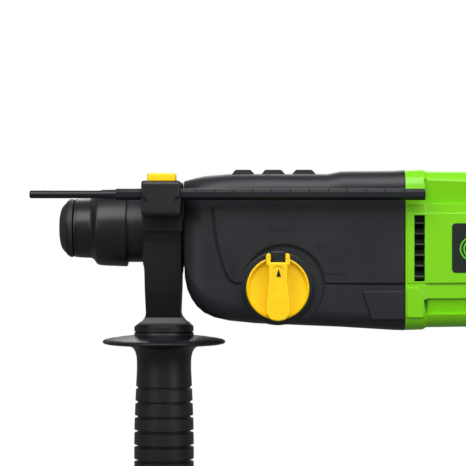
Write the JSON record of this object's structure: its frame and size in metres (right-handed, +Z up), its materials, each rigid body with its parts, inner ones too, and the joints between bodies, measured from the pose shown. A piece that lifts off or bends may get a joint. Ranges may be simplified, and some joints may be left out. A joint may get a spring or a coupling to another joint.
{
  "type": "cordless demolition hammer",
  "caption": "Cordless rotary demolition hammer with a slotted-shank chuck, side handle, depth rod, mode selector, D-shaped rear handle and slide-on battery.",
  "frame": {"origin": "on the spindle axis at the front face of the impact bolt, where the end of a bit's shank rests", "axes": "-X along the spindle towards the chuck, +X towards the rear handle, +Z up, -Y the tool's left side with the selector and the depth rod"},
  "size_m": [0.4021, 0.0896, 0.2096],
  "materials": {
    "black_plastic": "moulded nylon, satin",
    "green_plastic": "bright green moulded shell",
    "yellow_plastic": "yellow moulded control",
    "rubber": "soft moulded",
    "steel": "machined",
    "dark_steel": "blackened",
    "alloy": "die cast",
    "board": "printed board"
  },
  "bodies": {
    "housing": {"gearbox_housing": "black_plastic", "bulkhead": "alloy", "spindle_bush": "alloy", "front_seal": "rubber", "front_bearing": "steel", "intermediate_bearing_front": "steel", "intermediate_bearing_rear": "steel", "motor_bearing_front": "steel", "motor_bearing_rear": "steel", "stator": "dark_steel", "left_housing_shell": "green_plastic", "right_housing_shell": "green_plastic", "left_vent_grille": "black_plastic", "right_vent_grille": "black_plastic", "left_label_plate": "dark_steel", "right_label_plate": "dark_steel", "left_grip_pad": "rubber", "right_grip_pad": "rubber", "trigger_spring": "steel", "switch_body": "dark_steel", "terminal_block": "black_plastic", "controller_board": "board"},
    "spindle": {"tool_holder": "steel", "spindle_gear": "steel", "bolt_guide": "alloy", "spring_washer": "steel", "dust_cap": "rubber", "sleeve_spring": "steel"},
    "chuck_sleeve": {"locking_sleeve": "black_plastic"},
    "right_lock_ball": {"lock_ball_right": "steel"},
    "left_lock_ball": {"lock_ball_left": "steel"},
    "bolt": {"impact_bolt": "steel"},
    "striker": {"striker": "steel"},
    "piston": {"piston": "alloy", "piston_pin": "steel"},
    "wobble": {"wobble_ring": "steel"},
    "intermediate": {"intermediate_shaft": "steel", "intermediate_gear": "steel", "wobble_hub": "steel"},
    "armature": {"motor_shaft": "steel", "rotor": "dark_steel", "fan": "black_plastic"},
    "mode_selector": {"selector_knob": "yellow_plastic", "selector_crank": "dark_steel"},
    "selector_lock": {"selector_lock_tab": "black_plastic"},
    "shift": {"shift_plate": "dark_steel"},
    "trigger": {"trigger": "black_plastic"},
    "direction_slider": {"direction_slider": "black_plastic"},
    "battery": {"battery_lower_case": "black_plastic", "battery_upper_case": "black_plastic", "cell_pack": "dark_steel"},
    "battery_latch": {"battery_latch": "black_plastic"},
    "clamp": {"clamp_head": "black_plastic", "clamp_strap": "steel", "handle_bolt": "steel"},
    "grip": {"handle_grip": "black_plastic", "handle_nut": "steel"},
    "depth_rod": {"depth_rod": "black_plastic"},
    "depth_button": {"depth_button": "yellow_plastic"}
  },
  "joints": [
    {"name": "spindle_spin", "type": "hinge", "parent": "housing", "child": "spindle", "pos_m": [0.04, 0, 0], "axis": [1, 0, 0], "continuous": true},
    {"name": "sleeve_slide", "type": "slide", "parent": "spindle", "child": "chuck_sleeve", "axis": [1, 0, 0], "range_m": [0, 0.006], "stiffness_N_per_m": 1500, "springref_m": -0.004, "deforming": ["sleeve_spring"]},
    {"name": "right_ball_slide", "type": "slide", "parent": "spindle", "child": "right_lock_ball", "axis": [0, 1, 0], "range_m": [0, 0.0012]},
    {"name": "left_ball_slide", "type": "slide", "parent": "spindle", "child": "left_lock_ball", "axis": [0, -1, 0], "range_m": [0, 0.0012]},
    {"name": "impact_bolt_slide", "type": "slide", "parent": "spindle", "child": "bolt", "axis": [1, 0, 0], "range_m": [0, 0.004]},
    {"name": "striker_slide", "type": "slide", "parent": "housing", "child": "striker", "axis": [1, 0, 0], "range_m": [-0.001, 0.008]},
    {"name": "piston_slide", "type": "slide", "parent": "housing", "child": "piston", "axis": [1, 0, 0], "range_m": [-0.0045, 0.0045]},
    {"name": "wobble_swing", "type": "hinge", "parent": "housing", "child": "wobble", "pos_m": [0.097, 0, -0.03], "axis": [0, 1, 0], "range_deg": [-8.7, 8.7]},
    {"name": "intermediate_spin", "type": "hinge", "parent": "housing", "child": "intermediate", "pos_m": [0.08, 0, -0.03], "axis": [1, 0, 0], "continuous": true},
    {"name": "rotor_spin", "type": "hinge", "parent": "housing", "child": "armature", "pos_m": [0.17, 0, -0.011], "axis": [1, 0, 0], "continuous": true},
    {"name": "mode_select", "type": "hinge", "parent": "housing", "child": "mode_selector", "pos_m": [0.0719, -0.042, -0.0322], "axis": [0, 1, 0], "range_deg": [-69, 77]},
    {"name": "selector_lock_press", "type": "slide", "parent": "mode_selector", "child": "selector_lock", "axis": [0, 0, -1], "range_m": [0, 0.002], "stiffness_N_per_m": 800, "springref_m": -0.0015},
    {"name": "shift_slide", "type": "slide", "parent": "housing", "child": "shift", "axis": [1, 0, 0], "range_m": [-0.0045, 0.0045]},
    {"name": "trigger_pull", "type": "slide", "parent": "housing", "child": "trigger", "axis": [1, 0, 0], "range_m": [0, 0.007], "stiffness_N_per_m": 900, "springref_m": -0.003, "deforming": ["trigger_spring"]},
    {"name": "direction_slide", "type": "slide", "parent": "housing", "child": "direction_slider", "axis": [0, 1, 0], "range_m": [-0.0025, 0.0025]},
    {"name": "battery_slide", "type": "slide", "parent": "housing", "child": "battery", "axis": [1, 0, 0], "range_m": [0, 0.13]},
    {"name": "battery_latch_press", "type": "slide", "parent": "battery", "child": "battery_latch", "axis": [0, 0, -1], "range_m": [0, 0.003], "stiffness_N_per_m": 1200, "springref_m": -0.0015},
    {"name": "side_handle_swivel", "type": "hinge", "parent": "housing", "child": "clamp", "pos_m": [0.01, 0, 0], "axis": [1, 0, 0], "range_deg": [-180, 26]},
    {"name": "grip_twist", "type": "hinge", "parent": "clamp", "child": "grip", "pos_m": [0.01, 0, -0.1], "axis": [0, 0, 1], "range_deg": [0, 360]},
    {"name": "depth_rod_slide", "type": "slide", "parent": "clamp", "child": "depth_rod", "axis": [1, 0, 0], "range_m": [-0.125, 0.055]},
    {"name": "depth_button_press", "type": "slide", "parent": "clamp", "child": "depth_button", "axis": [0, 0, -1], "range_m": [0, 0.0025], "stiffness_N_per_m": 1000, "springref_m": -0.0015}
  ],
  "couplings": [
    {"joint": "right_ball_slide", "follows": "sleeve_slide", "ratio": 0.2},
    {"joint": "left_ball_slide", "follows": "sleeve_slide", "ratio": 0.2},
    {"joint": "intermediate_spin", "follows": "spindle_spin", "ratio": -2.6923},
    {"joint": "rotor_spin", "follows": "spindle_spin", "ratio": 8.6752},
    {"joint": "wobble_swing", "follows": "piston_slide", "rad_per_m": 33.333},
    {"joint": "shift_slide", "follows": "mode_select", "m_per_rad": 0.0029}
  ]
}
